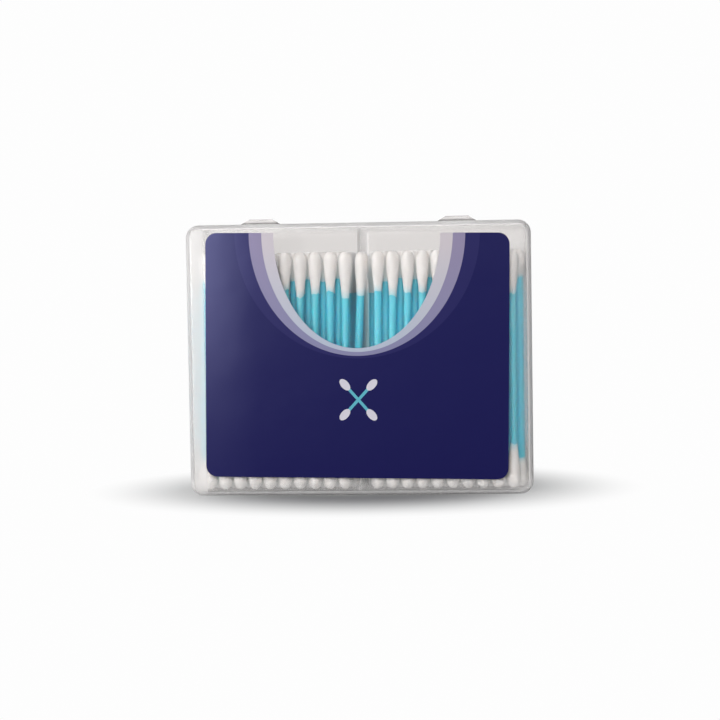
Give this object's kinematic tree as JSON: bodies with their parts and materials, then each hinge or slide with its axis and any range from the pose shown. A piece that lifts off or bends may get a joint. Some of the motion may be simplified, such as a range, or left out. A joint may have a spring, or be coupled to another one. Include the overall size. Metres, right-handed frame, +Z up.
{
  "type": "cotton swab box",
  "caption": "Clear hinged plastic box of double-ended cotton swabs with turquoise sticks, standing on its long side, with a dark blue windowed label on the lid.",
  "frame": {"origin": "middle of the base, which is the long closing side that the box stands on", "axes": "X along the hinge, +Y from the lid to the back of the tray, +Z up to the hinge"},
  "size_m": [0.106, 0.04, 0.0854],
  "materials": {
    "clear_polypropylene": "translucent polypropylene, finely frosted at the borders",
    "printed_film": "satin printed film",
    "stick_plastic": "smooth extruded turquoise plastic",
    "cotton": "wound white cotton"
  },
  "bodies": {
    "tray_and_swabs": {"tray": "clear_polypropylene", "leaning_swab_stick": "stick_plastic", "leaning_swab_buds": "cotton", "swab_sticks_left_1": "stick_plastic", "swab_sticks_left_2": "stick_plastic", "swab_sticks_left_3": "stick_plastic", "swab_sticks_left_4": "stick_plastic", "swab_sticks_left_5": "stick_plastic", "swab_sticks_left_6": "stick_plastic", "swab_sticks_left_7": "stick_plastic", "swab_sticks_left_8": "stick_plastic", "swab_sticks_left_9": "stick_plastic", "swab_sticks_left_10": "stick_plastic", "swab_sticks_right_1": "stick_plastic", "swab_sticks_right_2": "stick_plastic", "swab_sticks_right_3": "stick_plastic", "swab_sticks_right_4": "stick_plastic", "swab_sticks_right_5": "stick_plastic", "swab_sticks_right_6": "stick_plastic", "swab_sticks_right_7": "stick_plastic", "swab_sticks_right_8": "stick_plastic", "swab_sticks_right_9": "stick_plastic", "swab_sticks_right_10": "stick_plastic", "cotton_buds_left_1": "cotton", "cotton_buds_left_2": "cotton", "cotton_buds_left_3": "cotton", "cotton_buds_left_4": "cotton", "cotton_buds_left_5": "cotton", "cotton_buds_left_6": "cotton", "cotton_buds_left_7": "cotton", "cotton_buds_left_8": "cotton", "cotton_buds_left_9": "cotton", "cotton_buds_left_10": "cotton", "cotton_buds_right_1": "cotton", "cotton_buds_right_2": "cotton", "cotton_buds_right_3": "cotton", "cotton_buds_right_4": "cotton", "cotton_buds_right_5": "cotton", "cotton_buds_right_6": "cotton", "cotton_buds_right_7": "cotton", "cotton_buds_right_8": "cotton", "cotton_buds_right_9": "cotton", "cotton_buds_right_10": "cotton"},
    "lid_and_label": {"lid": "clear_polypropylene", "front_label": "printed_film"}
  },
  "joints": [
    {"name": "lid_hinge", "type": "hinge", "parent": "tray_and_swabs", "child": "lid_and_label", "pos_m": [0, -0.01191, 0.0851], "axis": [-1, 0, 0], "range_deg": [0, 180]}
  ]
}
